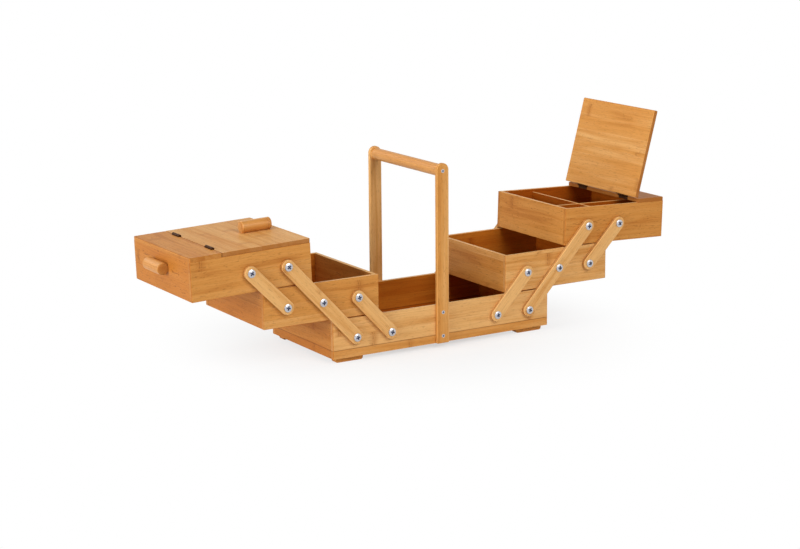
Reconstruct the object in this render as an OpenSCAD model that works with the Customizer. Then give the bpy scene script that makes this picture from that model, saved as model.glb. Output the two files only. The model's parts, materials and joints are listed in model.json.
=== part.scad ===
// Bamboo sewing carrier: a base box, two half-length trays above it and two lidded trays above those.
// The trays fan out on flat side links, and a fixed handle stands over the middle of the base.
// It is drawn opened out, with the left lid shut and the right lid up.
// Millimetres, +X to the right, +Y to the back, +Z up, the floor at Z = 0, the middle of the base at X = 0.
// Every piece of a side is drawn once, for the right side, and mirrored to the left.

/* [Boxes] */
// Length of the base box
base_l = 410; // [380:1:460]
// Depth of the base box from front to back
base_d = 200; // [170:1:240]
// Height of the base walls
base_h = 63; // [58:1:75]
// Height of the tray walls
tray_h = 62; // [58:1:72]
// Thickness of wall, strip and lid boards
board_t = 6.5; // [5:0.1:8]
// Thickness of the bottom panels
panel_t = 4; // [3:0.1:5]
// Width of the rebate that holds a bottom panel
rebate_w = 3; // [2:0.1:4]
// Space between the two halves when they are shut
middle_gap = 1; // [0.6:0.1:3]
// Space between one tier and the next when they are shut
tier_gap = 1; // [0.6:0.1:2]
// How much less deep a tray is than the base, on each face
tray_inset = 0.5; // [0.4:0.1:1.5]

/* [Dividers] */
// Thickness of the divider boards in the top trays
divider_t = 4; // [3:0.1:6]
// Distance from the rim down to the dividers
divider_drop = 5; // [2:0.5:15]
// Distance from a top tray's inner pivot out to the cross divider
divider_from_pivot = 27; // [14:1:48]
// Distance of the long divider in front of the middle
long_divider_y = 40; // [20:1:60]

/* [Feet] */
// Length of a foot
foot_l = 50; // [30:1:70]
// Width of a foot
foot_w = 13; // [10:0.5:20]
// Height of a foot
foot_h = 8; // [6:0.5:12]
// Rounding of a foot's lower corners
foot_r = 4; // [2:0.5:5]
// Distance of a foot from the base's end
foot_inset_x = 8; // [4:1:20]
// Distance of a foot from the base's face
foot_inset_y = 7; // [4:1:20]

/* [Links] */
// Width of a link bar
link_w = 22; // [18:0.5:26]
// Thickness of a link bar
link_t = 6; // [4:0.5:8]
// Space between a link bar and the base wall
link_gap = 0.4; // [0.3:0.1:1]
// Sideways lean of one link pitch when shut
link_lean = 60.5; // [52:0.5:64]
// Distance of the outer base pivot from the base's end
pivot_inset = 40.5; // [36:0.5:50]
// Height of a tray's pivots above its lower edge
pivot_h = 31; // [26:0.5:36]
// Distance from the long link to the lower link
lower_spacing = 63.4; // [55:0.1:68]
// Distance from the long link to the upper link, on the middle tray
upper_spacing = 62.5; // [55:0.1:68]
// How much further apart two tiers stand opened than shut
open_lift = 0.75; // [0.6:0.05:2]
// Downward tilt of the opened top trays, in degrees
droop = 2; // [0:0.1:2]

/* [Pivots] */
// Radius of a pivot sleeve
sleeve_r = 3; // [2.5:0.1:4]
// Radius of the bolt inside the sleeve
bolt_r = 2; // [1.5:0.1:2.2]
// Radius of a bolt head
head_r = 6.5; // [5.5:0.1:8]
// Height of a bolt head
head_h = 2.6; // [2:0.1:3.5]
// Thickness of wood left behind a pivot sleeve
blind_t = 1.5; // [1:0.1:3]
// Radial clearance of a link on its sleeve
running_gap = 0.08; // [0.05:0.01:0.1]
// Radial clearance at the tray end of a lower link
lower_play = 0.3; // [0.2:0.05:0.8]
// Radial clearance at the tray end of an upper link
upper_play = 0.8; // [0.7:0.05:1.2]

/* [Handle] */
// Width of a handle upright
upright_w = 22; // [18:0.5:24]
// Thickness of a handle upright
upright_t = 6.5; // [5:0.1:8]
// Height of the handle above the floor
handle_h = 301; // [285:1:340]
// Distance of the handle left of the base's middle
handle_shift = 4.5; // [0:0.5:8]
// Diameter of the dowel used for the grip, knobs and pulls
dowel_d = 19.5; // [16:0.5:22]
// Distance of the grip's axis below the handle's top
grip_drop = 12.5; // [11:0.5:20]
// Heights of the two fixing screws above the base's lower edge
upright_screw_z = [12, 51]; // [8:1:58]

/* [Lids] */
// Length of a lid
lid_l = 150; // [120:1:160]
// Space between a lid and its strip
lid_gap = 1; // [0.8:0.1:1.5]
// Space under a shut lid
lid_seat = 0.2; // [0.1:0.05:0.4]
// Corner rounding of lids and strips
corner_r = 2; // [1:0.1:4]
// Angle that a lid opens to, in degrees
lid_open = 103; // [95:1:110]
// Length of a knob
knob_l = 51; // [30:1:60]
// Distance of a knob from the lid's free edge
knob_inset = 14.5; // [4:0.5:30]
// Distance of a knob behind the middle
knob_shift = 5; // [0:1:12]
// Length of a pull
pull_l = 54; // [40:1:80]
// Height of a pull's axis above the tray's lower edge
pull_h = 39.5; // [30:0.5:48]
// Distance of a pull behind the middle
pull_shift = 4; // [0:1:12]
// Depth of the flat planed on knobs and pulls
dowel_flat = 0.8; // [0.5:0.1:2]
// Chamfer on dowel ends
dowel_chamfer = 1; // [0.5:0.1:2]

/* [Lid hinges] */
// Length of a hinge
hinge_l = 24; // [20:1:40]
// Distance of each hinge from the middle
hinge_y = 57.5; // [45:0.5:70]
// Radius of the knuckles
knuckle_r = 2.5; // [2:0.1:3]
// Height of the hinge pins above the shut lid
knuckle_rise = 0.6; // [0:0.1:1.5]
// Radius of the hinge pin
hinge_pin_r = 1.1; // [0.8:0.05:1.3]
// Thickness of a hinge leaf
leaf_t = 0.8; // [0.6:0.05:1]
// Height of a hinge leaf's lower edge above the lid's underside
leaf_clear = 0.3; // [0.2:0.05:1]
// Share of the hinge's length taken by the middle knuckle
middle_knuckle = 0.4; // [0.3:0.05:0.5]

/* [Hidden] */
$fn = 48;
TINY = 0.01;
AXIAL_GAP = 0.3;     // end clearance between knuckles
HINGE_GAP = 0.08;    // radial clearance of the middle knuckle on its pin
KNUCKLE_GAP = 0.3;   // radial clearance of the knuckles in their groove
LEAF_GAP = 0.2;      // space between the leaves of a shut hinge
HEAD_GAP = 0.15;     // space between a bolt head and the link under it
BOLT_TIP_GAP = 0.3;  // space between a bolt's tip and the wood behind it
DOME_RIM = 0.8;      // height of a bolt head's straight rim
RECESS = [6.2, 1.5, 1.3];    // length, width and depth of one bar of a cross recess
SCREW_HEAD_R = 3;    // countersunk handle screws
SCREW_R = 1.6;
SCREW_L = 12.4;
SCREW_HEAD_H = 1.6;
GRIP_SCREW_L = 32;
LEAF_SCREW_L = 9;            // hinge screws
LEAF_SCREW_SPREAD = 1 / 3;   // distance of each leaf screw from the hinge's middle, as a share of its length

// Lengths that follow from the boxes
tray_l = (base_l - middle_gap) / 2;
tray_d = base_d - 2 * tray_inset;
rim_z = foot_h + base_h;
strip_l = tray_l - lid_l - lid_gap;
inner_d = tray_d - 2 * board_t;

// Link geometry: the long link leans in by shut_turn, and opened it leans out by open_turn
pitch_z = tray_h + tier_gap;
link_pitch = norm([link_lean, pitch_z]);
open_z = pitch_z + open_lift;
open_x = sqrt(link_pitch * link_pitch - open_z * open_z);
shut_turn = atan2(link_lean, pitch_z);
open_turn = atan2(open_x, open_z);
base_pin_x = base_l / 2 - pivot_inset;
mid_pin_x = base_pin_x - link_lean - middle_gap / 2;
top_pin_x = mid_pin_x - link_lean;
mid_x = middle_gap / 2 + link_lean + open_x;
mid_z = rim_z + tier_gap + open_lift;
base_pin_z = mid_z + pivot_h - open_z;
top_pin_at = [base_pin_x + 2 * open_x, base_pin_z + 2 * open_z];

// The upper link is drilled a little wider on the top tray, which levels the tray when shut
// and lets it droop when opened: both ends of the travel give the same link length.
sag_x = open_x - upper_spacing * (1 - cos(droop));
sag_z = open_z - upper_spacing * sin(droop);
spread = (link_pitch * link_pitch - sag_x * sag_x - sag_z * sag_z)
    / (2 * (link_lean + sag_x * cos(droop) - sag_z * sin(droop)));
top_spacing = upper_spacing + spread;
upper_foot = [mid_x + mid_pin_x + upper_spacing, mid_z + pivot_h];
upper_head = [top_pin_at[0] + top_spacing * cos(droop), top_pin_at[1] - top_spacing * sin(droop)];
upper_pitch = norm(upper_head - upper_foot);
upper_turn = atan2(upper_head[0] - upper_foot[0], upper_head[1] - upper_foot[1]);

// Pivot places along each wall, from the tray's inner end or the base's middle
base_pins = [base_pin_x, base_pin_x - lower_spacing];
mid_pins = [mid_pin_x, mid_pin_x - lower_spacing, mid_pin_x + upper_spacing];
top_pins = [top_pin_x, top_pin_x + top_spacing];
cross_divider_x = top_pin_x + divider_from_pivot;

// Lid hinge axis in the top tray's own frame
hinge_x = lid_l + lid_gap / 2;
board_top = tray_h + board_t + lid_seat;
hinge_z = board_top + knuckle_rise;

// A leaf's screws stand midway between its lower edge and the groove that clears the knuckles
groove_r = knuckle_r + KNUCKLE_GAP;
leaf_low = -knuckle_rise - board_t + leaf_clear;
leaf_screw_z = (leaf_low - groove_r) / 2;
leaf_screw_head_r = 0.37 * (-groove_r - leaf_low);
leaf_screw_r = 0.57 * leaf_screw_head_r;
grip_z = handle_h - grip_drop;

BAMBOO = "#C8904E";
DARK_BAMBOO = "#A86E38";
LIGHT_BAMBOO = "#D9A564";
ZINC = "#C9CDD2";
BRONZE = "#4A3A2C";

// Places: the left side, both faces, and the frames of the trays and lids
module left() {
    mirror([1, 0, 0]) children();
}

module both_faces() {
    children();
    mirror([0, 1, 0]) children();
}

module both_sides() {
    children();
    mirror([1, 0, 0]) children();
}

module at_mid() {
    translate([mid_x, 0, mid_z]) children();
}

module at_top() {
    translate([top_pin_at[0], 0, top_pin_at[1]])
        rotate([0, droop, 0])
            translate([-top_pin_x, 0, -pivot_h])
                children();
}

module at_lid(opened) {
    at_top()
        translate([hinge_x, 0, hinge_z])
            rotate([0, opened, 0])
                translate([-hinge_x, 0, -hinge_z])
                    children();
}

// A round bar or bore along Y, from y0 to y1
module y_rod(x, z, y0, y1, r) {
    translate([x, y0, z])
        rotate([-90, 0, 0])
            cylinder(r = r, h = y1 - y0);
}

// One long wall with the panel's rebate inside and a blind bore for each pivot; its outer face is at
// y = -depth / 2
module long_wall(x0, length, depth, height, pins, pin_z) {
    difference() {
        translate([x0, -depth / 2, 0])
            cube([length, board_t, height]);
        translate([x0 + board_t - rebate_w, -depth / 2 + board_t - rebate_w, -TINY])
            cube([length - 2 * (board_t - rebate_w), rebate_w + TINY, panel_t + TINY]);
        for (x = pins)
            y_rod(x, pin_z, -depth / 2 - 1, -depth / 2 + board_t - blind_t, sleeve_r);
    }
}

// One end wall between the long walls; its outer face is at x = face, and it reaches inwards by dir
module end_wall(face, dir, depth, height) {
    inner = depth - 2 * board_t;
    translate([face, 0, 0])
        mirror([dir < 0 ? 1 : 0, 0, 0])
            difference() {
                translate([0, -inner / 2, 0])
                    cube([board_t, inner, height]);
                translate([board_t - rebate_w, -inner / 2 - 1, -TINY])
                    cube([rebate_w + TINY, inner + 2, panel_t + TINY]);
            }
}

module bottom_panel(x0, length, depth) {
    inset = board_t - rebate_w;
    translate([x0 + inset, -depth / 2 + inset, 0])
        cube([length - 2 * inset, depth - 2 * inset, panel_t]);
}

// A pivot's sleeve and its bolt, along +Z from the wall's inner face; gap is the space behind the link
module sleeve(gap) {
    reach = board_t + gap + link_t + HEAD_GAP;
    translate([0, 0, blind_t])
        difference() {
            cylinder(r = sleeve_r, h = reach - blind_t);
            translate([0, 0, -1])
                cylinder(r = bolt_r, h = reach + 1);
        }
}

module bolt(gap) {
    reach = board_t + gap + link_t + HEAD_GAP;
    dome_h = head_h - DOME_RIM;
    dome_r = (head_r * head_r + dome_h * dome_h) / (2 * dome_h);
    tip = blind_t + BOLT_TIP_GAP;
    translate([0, 0, tip])
        cylinder(r = bolt_r, h = reach - tip + TINY);
    translate([0, 0, reach])
        difference() {
            intersection() {
                cylinder(r = head_r, h = head_h);
                translate([0, 0, head_h - dome_r])
                    sphere(r = dome_r, $fn = 96);
            }
            for (turn = [0, 90])
                rotate([0, 0, turn])
                    translate([-RECESS[0] / 2, -RECESS[1] / 2, head_h - RECESS[2]])
                        cube([RECESS[0], RECESS[1], RECESS[2] + 1]);
        }
}

// Children stand at each pin of both faces, pointing out of the wall
module at_pins(pins, pin_z, depth) {
    both_faces()
        for (x = pins)
            translate([x, -depth / 2 + board_t, pin_z])
                rotate([90, 0, 0])
                    children();
}

// A link bar with round ends, up from its first pivot; bores are pairs of distance and clearance
module link_bar(length, bores) {
    y0 = -base_d / 2 - link_gap - link_t;
    difference() {
        union() {
            translate([-link_w / 2, y0, 0])
                cube([link_w, link_t, length]);
            for (z = [0, length])
                y_rod(0, z, y0, y0 + link_t, link_w / 2);
        }
        for (b = bores)
            y_rod(0, b[0], y0 - 1, y0 + link_t + 1, sleeve_r + b[1]);
    }
}

module links_at(x, z, turn, length, bores) {
    color(LIGHT_BAMBOO)
        both_faces()
            translate([x, 0, z])
                rotate([0, turn, 0])
                    link_bar(length, bores);
}

module long_links() {
    links_at(base_pin_x, base_pin_z, open_turn, 2 * link_pitch,
        [[0, running_gap], [link_pitch, running_gap], [2 * link_pitch, running_gap]]);
}

module lower_links() {
    links_at(base_pins[1], base_pin_z, open_turn, link_pitch,
        [[0, running_gap], [link_pitch, lower_play]]);
}

module upper_links() {
    links_at(upper_foot[0], upper_foot[1], upper_turn, upper_pitch,
        [[0, running_gap], [upper_pitch, upper_play]]);
}

// Base box
module base_long_walls() {
    color(BAMBOO)
        both_faces()
            difference() {
                translate([0, 0, foot_h])
                    long_wall(-base_l / 2, base_l, base_d, base_h,
                        concat(base_pins, -base_pins), base_pin_z - foot_h);
                upright_screw_set() upright_screw();
            }
}

module base_end_walls() {
    color(BAMBOO)
        both_sides()
            translate([0, 0, foot_h])
                end_wall(base_l / 2, -1, base_d, base_h);
}

module base_bottom() {
    color(DARK_BAMBOO)
        translate([0, 0, foot_h])
            bottom_panel(-base_l / 2, base_l, base_d);
}

module foot_outline() {
    translate([0, foot_r])
        square([foot_l, foot_h - foot_r]);
    translate([foot_r, 0])
        square([foot_l - 2 * foot_r, foot_h]);
    for (x = [foot_r, foot_l - foot_r])
        translate([x, foot_r])
            circle(r = foot_r);
}

module base_feet() {
    color(DARK_BAMBOO)
        both_faces()
            both_sides()
                translate([base_l / 2 - foot_inset_x - foot_l, -base_d / 2 + foot_inset_y + foot_w, 0])
                    rotate([90, 0, 0])
                        linear_extrude(foot_w)
                            foot_outline();
}

module base_sleeves() {
    color(ZINC)
        both_sides()
            at_pins(base_pins, base_pin_z, base_d)
                sleeve(link_gap);
}

module base_bolts() {
    color(ZINC)
        both_sides()
            at_pins(base_pins, base_pin_z, base_d)
                bolt(link_gap);
}

// Handle
module upright() {
    difference() {
        translate([-handle_shift, -base_d / 2, 0])
            rotate([90, 0, 0])
                linear_extrude(upright_t) {
                    translate([-upright_w / 2, foot_h])
                        square([upright_w, handle_h - foot_h - upright_w / 2]);
                    translate([0, handle_h - upright_w / 2])
                        circle(r = upright_w / 2);
                }
        upright_screw_set() upright_screw();
        at_grip_end() grip_screw();
    }
}

// A countersunk screw that points in along +Z, with its head at Z = 0
module wood_screw(head_r, head_h, r, length) {
    cylinder(r1 = head_r, r2 = r, h = head_h, $fn = 48);
    translate([0, 0, head_h - TINY])
        cylinder(r = r, h = length - head_h + TINY);
}

module upright_screw() {
    wood_screw(SCREW_HEAD_R, SCREW_HEAD_H, SCREW_R, SCREW_L);
}

module grip_screw() {
    wood_screw(SCREW_HEAD_R, SCREW_HEAD_H, SCREW_R, GRIP_SCREW_L);
}

module upright_screw_set() {
    for (z = upright_screw_z)
        translate([-handle_shift, -base_d / 2 - upright_t, foot_h + z])
            rotate([-90, 0, 0])
                children();
}

module at_grip_end() {
    translate([-handle_shift, -base_d / 2 - upright_t, grip_z])
        rotate([-90, 0, 0])
            children();
}

module front_upright() {
    color(LIGHT_BAMBOO)
        upright();
}

module back_upright() {
    color(LIGHT_BAMBOO)
        mirror([0, 1, 0])
            upright();
}

module handle_grip() {
    color(BAMBOO)
        difference() {
            y_rod(-handle_shift, grip_z, -base_d / 2, base_d / 2, dowel_d / 2);
            both_faces() at_grip_end() grip_screw();
        }
}

module upright_screws() {
    color(ZINC)
        both_faces()
            upright_screw_set() upright_screw();
}

module grip_screws() {
    color(ZINC)
        both_faces()
            at_grip_end() grip_screw();
}

// Trays, in their own frame: X out from the inner end, Z up from the lower edge
module tray_long_walls(pins) {
    color(BAMBOO)
        both_faces()
            long_wall(0, tray_l, tray_d, tray_h, pins, pivot_h);
}

module tray_end_walls() {
    color(BAMBOO) {
        end_wall(0, 1, tray_d, tray_h);
        end_wall(tray_l, -1, tray_d, tray_h);
    }
}

module tray_bottom() {
    color(DARK_BAMBOO)
        bottom_panel(0, tray_l, tray_d);
}

module tray_sleeves(pins) {
    color(ZINC)
        at_pins(pins, pivot_h, tray_d)
            sleeve(link_gap + tray_inset);
}

module tray_bolts(pins) {
    color(ZINC)
        at_pins(pins, pivot_h, tray_d)
            bolt(link_gap + tray_inset);
}

// The dividers cross with a half lap: the long one is notched from above, the cross one from below
module long_divider() {
    h = tray_h - divider_drop - panel_t;
    color(BAMBOO)
        difference() {
            translate([board_t, -long_divider_y - divider_t / 2, panel_t])
                cube([tray_l - 2 * board_t, divider_t, h]);
            translate([cross_divider_x - divider_t / 2, -long_divider_y - divider_t, panel_t + h / 2])
                cube([divider_t, 2 * divider_t, h]);
        }
}

module cross_divider() {
    h = tray_h - divider_drop - panel_t;
    color(BAMBOO)
        difference() {
            translate([cross_divider_x - divider_t / 2, -inner_d / 2, panel_t])
                cube([divider_t, inner_d, h]);
            translate([cross_divider_x - divider_t, -long_divider_y - divider_t / 2, panel_t - 1])
                cube([2 * divider_t, divider_t, h / 2 + 1]);
        }
}

// A board with rounded corners at one end, from x = 0
module rounded_board(length) {
    linear_extrude(board_t) {
        translate([0, -tray_d / 2 + corner_r])
            square([length, tray_d - 2 * corner_r]);
        translate([0, -tray_d / 2])
            square([length - corner_r, tray_d]);
        for (y = [-1, 1])
            translate([length - corner_r, y * (tray_d / 2 - corner_r)])
                circle(r = corner_r);
    }
}

module strip() {
    color(BAMBOO)
        difference() {
            translate([tray_l - strip_l, 0, tray_h])
                rounded_board(strip_l);
            hinge_mortises(1);
            leaf_screw_set(1) leaf_screw();
        }
}

module lid() {
    color(BAMBOO)
        difference() {
            translate([lid_l, 0, tray_h + lid_seat])
                mirror([1, 0, 0])
                    rounded_board(lid_l);
            hinge_mortises(-1);
            leaf_screw_set(-1) leaf_screw();
        }
}

// A dowel along +Z with chamfered ends and a flat on its +X side, which the board carries
module dowel(length) {
    r = dowel_d / 2;
    difference() {
        rotate_extrude()
            polygon([[0, 0], [r - dowel_chamfer, 0], [r, dowel_chamfer], [r, length - dowel_chamfer],
                [r - dowel_chamfer, length], [0, length]]);
        translate([r - dowel_flat, -r, -1])
            cube([dowel_d, dowel_d, length + 2]);
    }
}

module knob() {
    color(BAMBOO)
        translate([knob_inset, knob_shift, board_top + dowel_d / 2 - dowel_flat])
            rotate([0, 90, 0])
                dowel(knob_l);
}

module pull() {
    color(BAMBOO)
        translate([tray_l + dowel_d / 2 - dowel_flat, pull_shift - pull_l / 2, pull_h])
            rotate([-90, 0, 0])
                mirror([1, 0, 0])
                    dowel(pull_l);
}

// Lid hinges: dir is 1 on the strip and -1 on the lid; the strip carries the outer knuckles
module at_hinges() {
    for (y = [-hinge_y, hinge_y])
        translate([hinge_x, y, hinge_z])
            children();
}

// The notch that holds a leaf in its board's edge, and the groove that clears the knuckles
module hinge_mortises(dir) {
    at_hinges() {
        translate([dir > 0 ? 0 : -LEAF_GAP / 2 - leaf_t, -hinge_l / 2, -hinge_z])
            cube([LEAF_GAP / 2 + leaf_t, hinge_l, 2 * hinge_z]);
        y_rod(0, 0, -hinge_l / 2 - AXIAL_GAP, hinge_l / 2 + AXIAL_GAP, groove_r);
    }
}

module leaf_screw_set(dir) {
    at_hinges()
        for (y = [-LEAF_SCREW_SPREAD, LEAF_SCREW_SPREAD])
            translate([dir * LEAF_GAP / 2, y * hinge_l, leaf_screw_z])
                rotate([0, dir * 90, 0])
                    children();
}

module leaf_screw() {
    wood_screw(leaf_screw_head_r, leaf_t, leaf_screw_r, LEAF_SCREW_L);
}

// One leaf hangs from its knuckles; spans are its knuckles' start and end along Y
module leaf(dir, spans) {
    face = dir > 0 ? LEAF_GAP / 2 : -LEAF_GAP / 2 - leaf_t;
    difference() {
        union() {
            difference() {
                translate([face, -hinge_l / 2, leaf_low])
                    cube([leaf_t, hinge_l, -leaf_low]);
                y_rod(0, 0, -hinge_l, hinge_l, groove_r);
            }
            for (s = spans) {
                translate([face, s[0], leaf_low])
                    cube([leaf_t, s[1] - s[0], -leaf_low - knuckle_r / 2]);
                y_rod(0, 0, s[0], s[1], knuckle_r);
            }
        }
        y_rod(0, 0, -hinge_l, hinge_l, hinge_pin_r + (dir > 0 ? 0 : HINGE_GAP));
    }
}

module strip_leaves() {
    half = hinge_l * middle_knuckle / 2;
    color(BRONZE)
        difference() {
            at_hinges()
                leaf(1, [[-hinge_l / 2, -half - AXIAL_GAP / 2], [half + AXIAL_GAP / 2, hinge_l / 2]]);
            leaf_screw_set(1) leaf_screw();
        }
}

module lid_leaves() {
    half = hinge_l * middle_knuckle / 2;
    color(BRONZE)
        difference() {
            at_hinges()
                leaf(-1, [[-half + AXIAL_GAP / 2, half - AXIAL_GAP / 2]]);
            leaf_screw_set(-1) leaf_screw();
        }
}

module hinge_pins() {
    color(BRONZE)
        at_hinges()
            y_rod(0, 0, -hinge_l / 2, hinge_l / 2, hinge_pin_r);
}

module leaf_screws(dir) {
    color(BRONZE)
        leaf_screw_set(dir) leaf_screw();
}

// Base and handle
base_long_walls();
base_end_walls();
base_bottom();
base_feet();
base_sleeves();
base_bolts();
front_upright();
back_upright();
handle_grip();
upright_screws();
grip_screws();
// Left side
left() long_links();  // left_long_links
left() lower_links();  // left_lower_links
left() upper_links();  // left_upper_links
left() at_mid() tray_long_walls(mid_pins);  // left_mid_long_walls
left() at_mid() tray_end_walls();  // left_mid_end_walls
left() at_mid() tray_bottom();  // left_mid_bottom
left() at_mid() tray_sleeves(mid_pins);  // left_mid_sleeves
left() at_mid() tray_bolts(mid_pins);  // left_mid_bolts
left() at_top() tray_long_walls(top_pins);  // left_top_long_walls
left() at_top() tray_end_walls();  // left_top_end_walls
left() at_top() tray_bottom();  // left_top_bottom
left() at_top() tray_sleeves(top_pins);  // left_top_sleeves
left() at_top() tray_bolts(top_pins);  // left_top_bolts
left() at_top() long_divider();  // left_long_divider
left() at_top() cross_divider();  // left_cross_divider
left() at_top() strip();  // left_strip
left() at_top() pull();  // left_pull
left() at_top() strip_leaves();  // left_strip_leaves
left() at_top() hinge_pins();  // left_hinge_pins
left() at_top() leaf_screws(1);  // left_strip_screws
left() at_lid(0) lid();  // left_lid
left() at_lid(0) knob();  // left_knob
left() at_lid(0) lid_leaves();  // left_lid_leaves
left() at_lid(0) leaf_screws(-1);  // left_lid_screws
// Right side
long_links();  // right_long_links
lower_links();  // right_lower_links
upper_links();  // right_upper_links
at_mid() tray_long_walls(mid_pins);  // right_mid_long_walls
at_mid() tray_end_walls();  // right_mid_end_walls
at_mid() tray_bottom();  // right_mid_bottom
at_mid() tray_sleeves(mid_pins);  // right_mid_sleeves
at_mid() tray_bolts(mid_pins);  // right_mid_bolts
at_top() tray_long_walls(top_pins);  // right_top_long_walls
at_top() tray_end_walls();  // right_top_end_walls
at_top() tray_bottom();  // right_top_bottom
at_top() tray_sleeves(top_pins);  // right_top_sleeves
at_top() tray_bolts(top_pins);  // right_top_bolts
at_top() long_divider();  // right_long_divider
at_top() cross_divider();  // right_cross_divider
at_top() strip();  // right_strip
at_top() pull();  // right_pull
at_top() strip_leaves();  // right_strip_leaves
at_top() hinge_pins();  // right_hinge_pins
at_top() leaf_screws(1);  // right_strip_screws
at_lid(lid_open) lid();  // right_lid
at_lid(lid_open) knob();  // right_knob
at_lid(lid_open) lid_leaves();  // right_lid_leaves
at_lid(lid_open) leaf_screws(-1);  // right_lid_screws
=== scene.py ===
# The looks of a bamboo sewing carrier with two lids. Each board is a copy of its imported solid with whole
# faces, eased edges and a grain of its own. Bolts and screws are turned and get their cross recesses.
import json
import math
import random

import bmesh
import bpy
from bpy.props import FloatProperty, FloatVectorProperty, PointerProperty
from mathutils import Matrix, Vector
from mathutils.bvhtree import BVHTree

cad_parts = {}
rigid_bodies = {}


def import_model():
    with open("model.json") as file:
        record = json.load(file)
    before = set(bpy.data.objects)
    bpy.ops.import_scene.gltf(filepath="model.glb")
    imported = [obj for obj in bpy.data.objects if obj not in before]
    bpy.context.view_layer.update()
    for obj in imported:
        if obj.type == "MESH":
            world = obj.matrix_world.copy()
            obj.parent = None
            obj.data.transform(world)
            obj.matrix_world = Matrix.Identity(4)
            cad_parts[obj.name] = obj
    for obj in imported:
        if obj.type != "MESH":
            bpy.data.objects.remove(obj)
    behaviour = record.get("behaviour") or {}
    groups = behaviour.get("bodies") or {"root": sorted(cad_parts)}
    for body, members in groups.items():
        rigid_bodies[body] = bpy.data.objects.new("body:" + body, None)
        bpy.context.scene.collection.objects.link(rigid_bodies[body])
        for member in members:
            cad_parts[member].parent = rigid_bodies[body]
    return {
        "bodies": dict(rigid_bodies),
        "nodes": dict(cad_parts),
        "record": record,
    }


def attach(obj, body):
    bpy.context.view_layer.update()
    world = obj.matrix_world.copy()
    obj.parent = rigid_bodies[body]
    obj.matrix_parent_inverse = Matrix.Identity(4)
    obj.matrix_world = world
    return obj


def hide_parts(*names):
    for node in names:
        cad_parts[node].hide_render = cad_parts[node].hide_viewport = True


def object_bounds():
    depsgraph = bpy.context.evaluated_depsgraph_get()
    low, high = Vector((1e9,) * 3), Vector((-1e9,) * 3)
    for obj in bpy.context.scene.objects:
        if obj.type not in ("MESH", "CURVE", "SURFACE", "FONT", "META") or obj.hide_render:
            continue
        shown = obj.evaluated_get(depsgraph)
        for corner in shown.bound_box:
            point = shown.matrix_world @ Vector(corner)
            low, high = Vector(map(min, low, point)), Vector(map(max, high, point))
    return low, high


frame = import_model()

bl_info = {
    "name": "Bamboo sewing carrier",
    "version": (1, 0, 0),
    "blender": (4, 5, 0),
    "location": "3D View > Sidebar > Sewing carrier",
    "description": "Finishes a packed sewing carrier in lacquered bamboo, zinc and dark bronze",
    "category": "Object",
}

NODES = frame["nodes"]
MEMBERS = frame["record"]["behaviour"]["bodies"]
BODY = {node: body for body, nodes in MEMBERS.items() for node in nodes}
for stray in set(bpy.data.objects) - set(NODES.values()) - set(frame["bodies"].values()):
    bpy.data.objects.remove(stray)
CAD_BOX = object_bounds()

SIDES = ("left", "right")
WELD = 1e-6    # vertices closer than this are one
COPLANAR = math.radians(0.6)    # faces that turn less than this are one
SHARP = math.radians(30)    # edges that turn more than this are eased
CREASE = math.radians(35)    # edges that turn more than this are shaded as corners
TOUCH = 0.00005    # an edge this close to a neighbour is part of a joint
LEVEL_WAYS = [Vector(way) for way in ((1, 0, 0), (-1, 0, 0), (0, 1, 0), (0, -1, 0))]
EASING_STEPS = 3    # facets across an eased edge
SPIN_STEPS = 40    # facets round a turned screw
DOME_STEPS = 6    # rings on a bolt's dome

# Cosines that tell a board's faces apart
TURNED_TO = 0.5    # above this a face looks rather this way than across it
END_FACE = 0.9    # with the grain, above this it is an end
NARROW_SIDE = 0.1    # with the board's thickness, below this it is a narrow side
WIDE_FACE = 0.95    # and above this a wide face

# A board's tone turns it from pale at 0 to amber at 2. The tones of its narrow sides and eased edges make
# them paler below 0, a painted highlight that is partly thinner lacquer, and browner above 0, a painted
# shade, except on end faces, where the brown is the end grain's own.
TONE_SPREAD = 0.12    # how far a board's tone strays from its group's
END_GRAIN = 0.4    # least side tone of a board's end faces
# The inner faces of the boxes get a painted shade that stands for the shade inside them; the walls listed
# here get only a share of it.
LIT_INSIDE = ("left_mid_end_walls",)    # walls that catch the light on their inner faces too
LIT_SHARE = 0.2    # share of the inner tint on those faces

# Length along the grain, width across it, detail and distortion of each noise
SMOKE = (0.16, 0.011, 3.0, 0.5)
FIBRE = (0.07, 0.0011, 4.0, 0.0)
FLECK = (0.011, 0.0008, 1.0, 0.0)
RAGGED = (0.004, 0.003, 2.0, 0.0)
RINGS = (0.13, 0.012, 2.0, 1.2)
CLOUD = (0.0022, 0.0022, 3.0, 0.0)
RUB = (0.0004, 0.003, 3.0, 0.0)

# The level at which each of these begins to show, and the one at which it shows in full
HONEY_BAND = (0.2, 1.2)
AMBER_BAND = (1.1, 1.9)
SHADE_BAND = (0.25, 0.8)
STREAK_BAND = (0.54, 0.7)
FIBRE_BAND = (0.42, 0.8)
FLECK_BAND = (0.64, 0.73)
RING_BAND = (0.1, 0.02)
RING_DASHES = (0.4, 0.6)
CULM_DASHES = (0.35, 0.6)
SEAM_BAND = (0.48, 0.5)
SEAM_HUES = (0.3, 0.8)
WORN_BAND = (0.5, 0.75)
RECESS_SHADE_BAND = (0.0, 0.2)

# The distance at which each line begins to show, and the one at which it shows in full
RIDGE = (0.0013, 0.0002)
SECOND_RIDGE = (0.001, 0.0002)
CULM_SHADOW = (0.011, 0.001)
FIRST_SEAM = (0.0009, 0.0002)
LOWEST_STRIP = (0.0002, -0.0002)

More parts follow.
